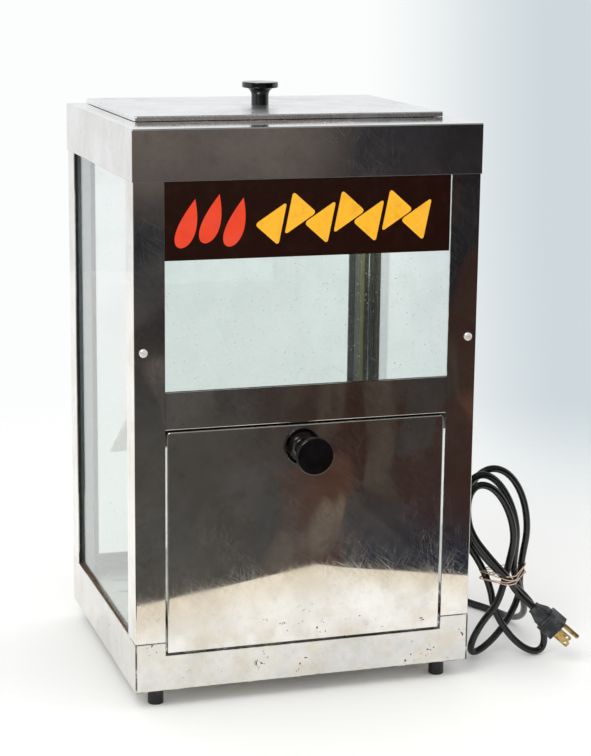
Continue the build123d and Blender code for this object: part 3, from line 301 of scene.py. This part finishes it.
def stainless(name, colour, smoke, polish, worn, ripple, dirt_top=None, hem_top=None):
    """Stainless steel sheet, from mirror to satin by its polish.

    Wiping haze clouds the mirror and hairline scratches catch the light; their lighter tint is a
    painted glint. Sheet that stands low turns cream-yellow in cloudy patches and has dark specks,
    shade is painted into its seams, and a hem is rubbed satin.
    """
    material, tree, shader, place = material_named(name, metallic=1.0)
    wiped = noise(tree, place, 0.075, detail=2.0, roughness=0.55)
    haze = between(tree, wiped, 0.40, 0.75)
    scratches = scratched(tree, place, (4, 24, 71, 97, 161), 0.0004, 0.055, 0.70)
    rough = add(
        tree, "ShaderNodeMath",
        {0: between(tree, haze, 0.0, 1.0, polish, worn), 1: times(tree, scratches, 0.20)},
        operation="ADD",
    )
    cloud = between(tree, noise(tree, place, 0.07, detail=4.0, roughness=0.6), 0.36, 0.66)
    tint = blend_colours(tree, cloud, colour, smoke)
    mottle = noise(tree, place, 0.007, detail=6.0, roughness=0.7)
    tint = blend_colours(tree, between(tree, mottle, 0.45, 0.75, 0.0, 0.16), tint, "#a39c91")
    blot = noise(tree, place, 0.020, detail=4.0, roughness=0.6)
    tint = blend_colours(tree, between(tree, blot, 0.54, 0.74, 0.0, 0.16), tint, "#85888c")
    # scratches are real wear; their lighter tint is a painted glint
    tint = blend_colours(tree, times(tree, scratches, 0.2), tint, "#ffffff")
    if dirt_top is not None:
        x, y, z = add(tree, "ShaderNodeSeparateXYZ", {"Vector": place}).outputs
        across = add(tree, "ShaderNodeMath", {0: x}, operation="ABSOLUTE")
        low_down = between(tree, z, dirt_top, dirt_top - 0.05)
        # the low sheet turns cream-yellow in cloudy patches
        film = between(tree, noise(tree, place, 0.03, detail=4.0, roughness=0.6), 0.45, 0.68)
        tint = blend_colours(tree, times(tree, times(tree, film, low_down), 0.28), tint, "#c9b98e")
        specks = between(tree, noise(tree, place, 0.0034, detail=2.0), 0.66, 0.70)
        patches = between(tree, noise(tree, place, 0.022, detail=2.0), 0.56, 0.62)
        specks_and_seam_shade = times(tree, times(tree, specks, low_down), patches)
        # painted shade in the seams, under the door and along the foot, broken up in spots:
        #         each has a plane, a half width and the stretch that it runs along
        beside_door = between(tree, across, door_edge - 0.0004, door_edge)
        under_door = between(tree, across, door_edge, door_edge - 0.0004)
        below_notch = between(tree, z, notch_level - 0.0015, notch_level - 0.0005)
        in_front = between(tree, y, -0.120, -0.125)
        on_front = between(tree, y, base_face_y + 0.0011, base_face_y + 0.0007)
        at_corner = times(tree, between(tree, z, base_top_z, base_top_z - 0.0010), on_front)
        broken = between(tree, noise(tree, place, 0.009, detail=3.0), 0.28, 0.50)
        for measured, seam_at, half_width, where in (
            (z, base_top_z + 0.0002, 0.0009, beside_door),
            (z, notch_level, 0.0018, under_door),
            (across, base_side_x - 0.0004, 0.0018, at_corner),
            (z, base_foot_z, 0.0008, on_front),
            (across, door_edge, 0.0004, below_notch),
        ):
            away = add(tree, "ShaderNodeMath", {0: measured, 1: seam_at}, operation="SUBTRACT")
            away = add(tree, "ShaderNodeMath", {0: away}, operation="ABSOLUTE")
            seam_shade = times(tree, between(tree, away, half_width, 0.3 * half_width), where)
            seam_shade = times(tree, times(tree, seam_shade, in_front), broken)
            specks_and_seam_shade = add(tree, "ShaderNodeMath", {0: specks_and_seam_shade, 1: seam_shade}, operation="MAXIMUM")
        # dark specks of dirt, and painted shade along the seams
        tint = blend_colours(tree, times(tree, specks_and_seam_shade, 0.85), tint, "#33241a")
        rough = add(tree, "ShaderNodeMath", {0: rough, 1: times(tree, specks_and_seam_shade, 0.5)}, operation="ADD")
    if hem_top is not None:
        height = add(tree, "ShaderNodeSeparateXYZ", {"Vector": place}).outputs["Z"]
        hem = between(tree, height, hem_top + 0.0004, hem_top)
        tint = blend_colours(tree, hem, tint, "#d8d8d5")
        rough = add(tree, "ShaderNodeMath", {0: rough, 1: times(tree, hem, 0.3)}, operation="ADD")
    wave = noise(tree, place, 0.11, detail=1.0)
    bump = add(
        tree, "ShaderNodeBump", {"Strength": 1.0, "Distance": ripple, "Height": wave}
    )
    fine = add(
        tree, "ShaderNodeBump",
        {"Strength": 0.08, "Distance": 0.00002, "Height": scratches, "Normal": bump},
    )
    tree.links.new(tint, shader.inputs["Base Color"])
    tree.links.new(rough.outputs[0], shader.inputs["Roughness"])
    tree.links.new(fine.outputs[0], shader.inputs["Normal"])
    return material


def angle_with_painted_fold_highlight():
    """Polished corner angle: painted reflection darkens its legs; a yellow strip on each, a
    painted highlight on the fold.
    """
    material, tree, shader, place = material_named("stainless_angle_painted_reflection_fold", metallic=1.0)
    x, y, _ = add(tree, "ShaderNodeSeparateXYZ", {"Vector": place}).outputs
    x = add(tree, "ShaderNodeMath", {0: x}, operation="ABSOLUTE")
    from_fold = [
        add(tree, "ShaderNodeMath", {0: corner, 1: leg}, operation="SUBTRACT")
        for corner, leg in ((fold_x, x), (fold_y, y))
    ]
    along_leg = add(
        tree, "ShaderNodeMath", {0: from_fold[0], 1: from_fold[1]}, operation="MAXIMUM"
    )
    wander = times(tree, noise(tree, place, 0.05, detail=2.0), 0.002)
    along_leg = add(tree, "ShaderNodeMath", {0: along_leg, 1: wander}, operation="ADD")
    strip = times(
        tree, between(tree, along_leg, 0.0070, 0.0082), between(tree, along_leg, 0.0125, 0.0112)
    )
    # painted reflection: the legs are dark green-grey like the dim room they mirror; a yellow
    # strip runs down each leg
    tint = blend_colours(tree, strip, "#62655c", "#a39b5c")
    # painted highlight along the fold
    tint = blend_colours(tree, between(tree, along_leg, 0.0034, 0.0024), tint, "#f4f5f1")
    rough = between(tree, strip, 0.0, 1.0, 0.12, 0.35)
    tree.links.new(tint, shader.inputs["Base Color"])
    tree.links.new(rough.outputs[0], shader.inputs["Roughness"])
    return material


def moulded(name, colour, light_colour, polish, worn, grain, stained_foot=None, **sockets):
    """A moulded or extruded polymer: fine grain, with dust and handling that lift its colour.

    A strip that stands on a greasy ledge is stained brown along its foot.
    """
    material, tree, shader, place = material_named(name, **sockets)
    dust = between(tree, noise(tree, place, 0.012, detail=4.0, roughness=0.65), 0.45, 0.80)
    tint = blend_colours(tree, dust, colour, light_colour)
    if stained_foot is not None:
        height = add(tree, "ShaderNodeSeparateXYZ", {"Vector": place}).outputs["Z"]
        low_down = between(tree, height, stained_foot + 0.0010, stained_foot)
        tint = blend_colours(tree, low_down, tint, "#6b4a33")
    speckle = noise(tree, place, grain, detail=2.0)
    rough = between(tree, noise(tree, place, 0.02, detail=3.0), 0.35, 0.70, polish, worn)
    bump = add(
        tree, "ShaderNodeBump", {"Strength": 0.3, "Distance": 0.1 * grain, "Height": speckle}
    )
    tree.links.new(tint, shader.inputs["Base Color"])
    tree.links.new(rough.outputs[0], shader.inputs["Roughness"])
    tree.links.new(bump.outputs[0], shader.inputs["Normal"])
    return material


def plain_metal(name, colour, dirt_colour, polish, worn, grain, metallic=1.0):
    """Small plated or drawn metal parts: even sheen, with dull stains."""
    material, tree, shader, place = material_named(name, metallic=metallic)
    stain = between(tree, noise(tree, place, grain, detail=4.0, roughness=0.6), 0.42, 0.75)
    tint = blend_colours(tree, stain, colour, dirt_colour)
    rough = between(tree, stain, 0.0, 1.0, polish, worn)
    bump = add(
        tree, "ShaderNodeBump", {"Strength": 0.3, "Distance": 0.02 * grain, "Height": stain}
    )
    tree.links.new(tint, shader.inputs["Base Color"])
    tree.links.new(rough.outputs[0], shader.inputs["Roughness"])
    tree.links.new(bump.outputs[0], shader.inputs["Normal"])
    return material


def float_glass(name, tint_clean, tint_smeared, tint_low):
    """Clear float glass: a green cast, smeared in patches, tinted darker and greener towards its
    foot, and a few specks.
    """
    material, tree, shader, place = material_named(name, transmission_weight=1.0, ior=1.5)
    film = between(tree, noise(tree, place, 0.06, detail=5.0, roughness=0.6), 0.40, 0.75)
    specks = between(tree, noise(tree, place, 0.0022, detail=1.0), 0.735, 0.76)
    tint = blend_colours(tree, film, tint_clean, tint_smeared)
    height = add(tree, "ShaderNodeSeparateXYZ", {"Vector": place}).outputs["Z"]
    tint = blend_colours(tree, between(tree, height, 0.44, 0.16), tint, tint_low)
    tree.links.new(blend_colours(tree, specks, tint, "#c9cdcb"), shader.inputs["Base Color"])
    tree.links.new(times(tree, specks, 0.4).outputs[0], shader.inputs["Roughness"])
    return material


polished_sheet = stainless(
    "polished_stainless_sheet", "#f1efeb", "#e0dbd3", 0.015, 0.060, 0.00015, dirt_top=0.11
)
base_sheet = stainless(
    "stained_stainless_base", "#e6e4de", "#d7d6d5", 0.09, 0.17, 0.00015, dirt_top=0.11
)
header_sheet = stainless(
    "hand_worn_stainless_sheet", "#ecebe8", "#dedbd7", 0.07, 0.12, 0.0002, hem_top=0.5303
)
lid_sheet = stainless("satin_stainless_lid", "#fdfdfd", "#f1f2f2", 0.24, 0.30, 0.0002)
inner_sheet = stainless("mill_stainless_sheet", "#cfccc7", "#c4c0b9", 0.26, 0.33, 0.0002)
angle_sheet = angle_with_painted_fold_highlight()
# painted reflection: the rear left angle is near-diffuse pale blue-white, in place of the pale
# surroundings it would mirror
pale_angle_painted_reflection = plain_metal(
    "steel_angle_painted_pale_reflection", "#f0f6fa", "#e4ecf0", 0.45, 0.60, 0.010, metallic=0.1
)
# painted sheen: the heads are half diffuse and near white, so they stay bright where their domes
# would mirror the dark room
screws_painted_sheen = plain_metal(
    "stainless_screws_painted_sheen", "#fbfbf9", "#cfc9c0", 0.35, 0.55, 0.004, metallic=0.5
)
front_glass = float_glass("clear_float_glass_front", "#eff5f3", "#e6edeb", "#ebf1ef")
side_glass = float_glass("clear_float_glass_sides", "#fdfefe", "#f6f9f8", "#e9f0ed")
gasket_rubber = moulded(
    "extruded_epdm_gasket", "#161817", "#2f322f", 0.50, 0.70, 0.0006, stained_foot=0.0700
)
sill_paint = moulded("aged_sealant_coated_steel", "#59402b", "#8a7356", 0.45, 0.75, 0.0010)
foot_rubber = moulded("moulded_black_rubber", "#101112", "#2b2c2d", 0.42, 0.62, 0.0006)
sign_film = moulded("gloss_dark_brown_sign_film", "#1d0a05", "#28110a", 0.10, 0.20, 0.0015)
phenolic = moulded(
    "polished_black_phenolic", "#020203", "#0c0c0d", 0.12, 0.26, 0.0008, coat_weight=0.3
)
catch_case = moulded("glass_filled_nylon_catch", "#2b2b2c", "#454545", 0.45, 0.65, 0.0006)
sheath = plain_metal("heat_browned_alloy_sheath", "#6f655c", "#3f342c", 0.38, 0.62, 0.008)
zinc = plain_metal("zinc_plated_steel", "#c5c8ca", "#8f9396", 0.28, 0.50, 0.006)
thermostat_case = plain_metal("drawn_aluminium_case", "#cfd0d1", "#9a9894", 0.30, 0.48, 0.005)
lead_jacket = moulded("silicone_lead_insulation", "#d9d4c8", "#c4bba8", 0.50, 0.70, 0.0005)
switch_nylon = moulded("black_switch_nylon", "#131314", "#242426", 0.30, 0.48, 0.0004)
cord_jacket = moulded("black_vinyl_cord_jacket", "#040405", "#0e0f10", 0.18, 0.28, 0.0004)
plug_vinyl = moulded("moulded_vinyl_plug", "#1d1f21", "#54575a", 0.42, 0.65, 0.0006)
band_rubber = moulded("tan_latex_band", "#c9ab93", "#dcc3ae", 0.50, 0.70, 0.0004)
blade_brass = plain_metal("tarnished_brass_blades", "#c2a468", "#57432f", 0.22, 0.42, 0.004)
amber_ink = moulded("amber_screen_ink", "#f0ae14", "#e09c10", 0.30, 0.45, 0.0004)
red_ink = moulded("orange_red_screen_ink", "#e03a10", "#cf3510", 0.30, 0.45, 0.0004)

finishes = {
    polished_sheet: (
        "post_front_left", "post_front_right", "post_rear_left",
        "post_rear_right", "mid_rail", "door_panel",
    ),
    base_sheet: ("base_shell", "base_front"),
    lid_sheet: ("lid_panel",),
    pale_angle_painted_reflection: ("inner_angle_rear_left",),
    angle_sheet: ("inner_angle_rear_right",),
    header_sheet: ("header_cap",),
    inner_sheet: (
        "bottom_plate", "inner_angle_front_left", "inner_angle_front_right", "chip_baffle",
        "door_liner", "lid_locator", "floor_deck",
    ),
    screws_painted_sheen: (
        "post_screws", "foot_screws", "foot_nuts", "hinge_pins", "lid_knob_screw",
        "door_knob_screw",
    ),
    front_glass: ("glass_front", "glass_rear"),
    side_glass: ("glass_left", "glass_right"),
    gasket_rubber: ("gasket_left", "gasket_right", "gasket_rear"),
    sill_paint: ("sill_left", "sill_right", "sill_rear"),
    foot_rubber: ("foot_front_left", "foot_front_right", "foot_rear_left", "foot_rear_right"),
    sign_film: ("sign_panel",),
    phenolic: ("lid_knob", "door_knob"),
    catch_case: ("door_catch",),
    sheath: ("heating_element",),
    zinc: (
        "hinge_bracket_left", "hinge_bracket_right", "element_rack_left", "element_rack_right",
    ),
    thermostat_case: ("thermostat",),
    lead_jacket: ("neutral_lead", "live_leads"),
    switch_nylon: ("switch_housing", "switch_rocker"),
    plug_vinyl: ("plug_body",),
    blade_brass: ("plug_blades", "plug_ground_pin"),
    cord_jacket: ("cord_gland", "cord_tail", "cord_hank"),
    band_rubber: ("cord_band",),
}
for finish, nodes in finishes.items():
    for node in nodes:
        for material_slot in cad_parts[node].material_slots:
            material_slot.material = finish


# ------------------------------------------------------------------ new pieces
def piece(name, data, finish, body):
    """Link a finished mesh or curve as a piece of the object."""
    made = bpy.data.objects.new(name, data)
    bpy.context.scene.collection.objects.link(made)
    data.materials.append(finish)
    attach(made, body)
    return made


def mesh_from(name, form):
    """A mesh with clean, outward faces from a finished bmesh."""
    bmesh.ops.remove_doubles(form, verts=form.verts, dist=1e-6)
    bmesh.ops.recalc_face_normals(form, faces=form.faces)
    data = bpy.data.meshes.new(name)
    form.to_mesh(data)
    form.free()
    return data


def rounded_curve(name, routes, wire, closed):
    """Round cord along NURBS splines whose control points are the routes' corners."""
    data = bpy.data.curves.new(name, "CURVE")
    data.dimensions = "3D"
    data.resolution_u = 10
    data.bevel_depth = wire / 2
    data.bevel_resolution = 5
    data.use_fill_caps = not closed
    for route in routes:
        spline = data.splines.new("NURBS")
        spline.points.add(len(route) - 1)
        for point, corner in zip(spline.points, route):
            point.co = (*[value * mm for value in corner], 1.0)
        spline.order_u = 3
        spline.use_cyclic_u = closed
        spline.use_endpoint_u = not closed
    return data


# ------------------------------------------------------------------ cord
def lobe(centre, half_length, half_width, lean, first, last, steps, depths):
    """Corner points along part of a leaning ellipse of the hank, in millimetres."""
    points = []
    for step in range(steps):
        share = step / (steps - 1)
        angle = radians(first + (last - first) * share)
        along = half_length * cos(angle)
        across = half_width * sin(angle)
        if share < 0.5:
            depth = depths[0] + (depths[1] - depths[0]) * 2 * share
        else:
            depth = depths[1] + (depths[2] - depths[1]) * (2 * share - 1)
        points.append(
            (
                centre[0] + along * sin(radians(lean)) + across * cos(radians(lean)),
                depth,
                centre[1] + along * cos(radians(lean)) - across * sin(radians(lean)),
            )
        )
    return points


cord_diameter = 7.6 * mm
plug_start = Vector((261, -124.7, 63))
plug_axis = Vector((0.68, -0.37, -0.63)).normalized()
hank_start = Vector((262, -88, 96))
hank_route = [
    tuple(hank_start),
    *lobe((227, 151), 66, 37, -12, 138, -100, 8, (-91, -106, -94)),
    (212, -95, 106),
    *lobe((255, 45), 49, 20, 146, 156, -128, 10, (-98, -103, -102)),
    (230, -103, 97),
    *lobe((217, 158), 57, 27, -21, -115, 146, 9, (-104, -114, -102)),
    (248, -98, 96),
    *lobe((231, 44), 46, 17, -145, -160, 111, 10, (-90, -90, -111)),
    *lobe((212, 156), 50, 24, -22, 154, -89, 9, (-112, -123, -119)),
    (211, -121, 120),
    (233, -123, 96),
    tuple(plug_start - plug_axis * 24),
    tuple(plug_start),
]
hank_direction = (Vector(hank_route[1]) - hank_start).normalized()
tail_route = [
    (125, 194.5, 41),
    (125, 221, 41),
    (135, 250, 30),
    (146, 268, 14),
    (166, 282, 5.5),
    (196, 287, 3.9),
    (228, 279, 3.9),
    (256, 250, 3.9),
    (266, 208, 3.9),
    (264, 160, 3.9),
    (257, 116, 3.9),
    (266, 74, 3.9),
    (284, 40, 3.9),
    (294, 2, 5),
    (290, -38, 22),
    (279, -64, 46),
    tuple(hank_start - hank_direction * 24),
]

# four turns of a rubber band, drawn tight round the strands of the hank, two of them crossing
strands = [
    Vector(place)
    for place in (
        (262, -88), (216, -96), (231.5, -103), (249.5, -97.5), (232, -122.5), (219, -97),
        (240.5, -102.5), (253, -95), (237, -121), (262.5, -86),
    )
]
bundle_x = 238  # middle of the strands


def wound(radius, level, slope):
    """Corner points of a loop that hugs the strands, tilted by a slope along x."""
    hull = [strands[index] for index in convex_hull_2d(strands)]
    points = []
    for before, corner, after in zip(hull[-1:] + hull, hull, hull[1:] + hull[:1]):
        first, last = (
            Vector((run.y, -run.x)).normalized() for run in (corner - before, after - corner)
        )
        middle = (first + last).normalized()
        points += [
            corner + radius * step
            for step in (
                first, (first + middle) / (1 + first.dot(middle)),
                (middle + last) / (1 + middle.dot(last)), last,
            )
        ]
    return [(point.x, point.y, level + slope * (point.x - bundle_x)) for point in points]


band_routes = [
    wound(4.4, 91, 0.03), wound(4.4, 99.5, -0.03), wound(4.9, 95, 0.17), wound(5.5, 95, -0.15),
]
band = piece(
    "wound_rubber_band", rounded_curve("wound_rubber_band", band_routes, 1.1 * mm, True),
    band_rubber, "cabinet",
)
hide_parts("cord_band")

# strain relief: a tapered sleeve with ring grooves, 30 mm long behind the cabinet. Its profile is
# (radius, distance behind the back panel) in millimetres
relief_root = Vector((0.125, 0.1645, 0.041))
relief = bmesh.new()
relief_profile = [(0, -3), (10, -3), (10, -1), (6.5, -1), (6.5, 0), (10, 0), (10, 2), (8, 2.6)]
for ring in range(6):
    start = 5.0 + 3.6 * ring
    radius = 8.0 - 0.105 * start
    relief_profile += [
        (radius, start), (radius - 1.1, start + 0.4), (radius - 1.2, start + 1.5),
        (radius - 0.15, start + 1.9),
    ]
relief_profile += [(5.1, 28.5), (4.6, 30), (0, 30)]
previous = None
for radius, along in relief_profile:
    corner = relief.verts.new(relief_root + Vector((radius * mm, along * mm, 0)))
    if previous is not None:
        relief.edges.new((previous, corner))
    previous = corner
bmesh.ops.spin(
    relief, geom=relief.verts[:] + relief.edges[:], cent=relief_root, axis=(0, 1, 0),
    angle=2 * pi, steps=40, use_merge=True,
)
gland = piece(
    "grooved_strain_relief", mesh_from("grooved_strain_relief", relief), cord_jacket, "cabinet",
)
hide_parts("cord_gland")

cord = piece(
    "mains_cord", rounded_curve("mains_cord", [tail_route + hank_route], cord_diameter, False),
    cord_jacket, "cabinet",
)
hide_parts("cord_tail", "cord_hank")

# ------------------------------------------------------------------ printed motif on the sign
sign_low, sign_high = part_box("sign_panel")
sign_front = sign_low.y
film_left = -0.1464  # close against the left post; a line of light stays open at the right
film_edge = 0.0002  # rounding of the film's cut edges
print_middle = 0.4915  # half way up the part of the sign that shows
ink = 0.0001

film_form = bmesh.new()
bmesh.ops.create_cube(film_form, size=1.0)
bmesh.ops.scale(
    film_form, verts=film_form.verts,
    vec=(sign_high.x - film_left, sign_high.y - sign_low.y, sign_high.z - sign_low.z),
)
bmesh.ops.translate(
    film_form, verts=film_form.verts,
    vec=(
        (film_left + sign_high.x) / 2, (sign_low.y + sign_high.y) / 2,
        (sign_low.z + sign_high.z) / 2,
    ),
)
bmesh.ops.bevel(
    film_form, geom=film_form.edges[:], offset=film_edge, affect="EDGES", segments=2,
    profile=0.5, material=-1,
)
film = piece("sign_film", mesh_from("sign_film", film_form), sign_film, "cabinet")
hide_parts("sign_panel")


def printed_shapes(name, outlines, finish):
    """Flat ink shapes on the sign: polygons with softened corners, or drops with one point."""
    form = bmesh.new()
    for sides, across, tall, x, z, turn, lean, soften in outlines:
        made = bmesh.ops.create_circle(form, cap_ends=True, segments=sides, radius=1.0)["verts"]
        bmesh.ops.rotate(
            form, verts=made, cent=(0, 0, 0), matrix=Matrix.Rotation(radians(turn), 3, "Z")
        )
        if soften is None:
            # a drop narrows towards its upper end
            for vert in made:
                vert.co.x *= max(0.5 - 0.5 * vert.co.y, 0) ** 0.55
        bmesh.ops.scale(form, vec=(across, tall, 1), verts=made)
        if soften:
            bevelled = bmesh.ops.bevel(
                form, geom=made, offset=soften, affect="VERTICES", segments=5, profile=0.5,
                material=-1,
            )["verts"]
            made = list(set(bevelled + [vert for vert in made if vert.is_valid]))
        shear = Matrix(((1, lean, 0), (0, 1, 0), (0, 0, 1)))
        bmesh.ops.transform(form, matrix=shear.to_4x4(), verts=made)
        bmesh.ops.transform(
            form,
            matrix=Matrix.Translation((x, sign_front, z)) @ Matrix.Rotation(radians(90), 4, "X"),
            verts=made,
        )
    raised = bmesh.ops.extrude_face_region(form, geom=form.faces[:])["geom"]
    raised_verts = [item for item in raised if isinstance(item, bmesh.types.BMVert)]
    bmesh.ops.translate(form, vec=(0, -ink, 0), verts=raised_verts)
    return piece(name, mesh_from(name, form), finish, "cabinet")


# sides, half width, half height, x, z, turn, lean, corner cut (None for a drop)
chips = [
    (3, 0.0190, 0.0245, -0.0385 + 0.0250 * at, print_middle + (0.0050 if at % 2 else -0.0050),
     -90 if at % 2 else 90, 0.20, 0.0042)
    for at in range(7)
]
drops = [
    (64, 0.0128, 0.0235, x, print_middle + lift, 0, 0.30, None)
    for x, lift in ((-0.1235, -0.0020), (-0.0995, 0.0020), (-0.0755, -0.0020))
]
printed_shapes("sign_chip_shapes", chips, amber_ink)
printed_shapes("sign_drop_shapes", drops, red_ink)
